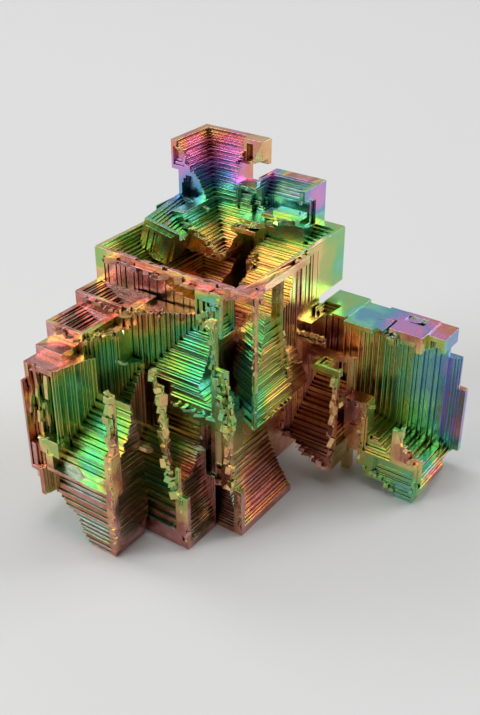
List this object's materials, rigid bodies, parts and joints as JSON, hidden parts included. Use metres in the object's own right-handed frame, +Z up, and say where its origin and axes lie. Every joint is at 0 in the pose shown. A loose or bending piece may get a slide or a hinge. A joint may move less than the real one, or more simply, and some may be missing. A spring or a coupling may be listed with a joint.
{
  "type": "bismuth hopper crystal",
  "caption": "Cluster of stepped, hollow-faced bismuth cubes grown together, with rainbow oxide on every terrace, standing on its own lower corners as a display specimen.",
  "frame": {"origin": "bottom centre of the box round the whole crystal, on the surface it stands on", "axes": "+Z up; the lattice's cube edges lie along X, Y and Z; -Y faces the front frames, +X runs out along the arm"},
  "size_m": [0.0632, 0.0624, 0.0625],
  "materials": {
    "bismuth_crystal": "bare metal under a thin oxide film that runs through gold, magenta, blue and green"
  },
  "bodies": {
    "root": {"bismuth_crystal": "bismuth_crystal"}
  },
  "joints": []
}
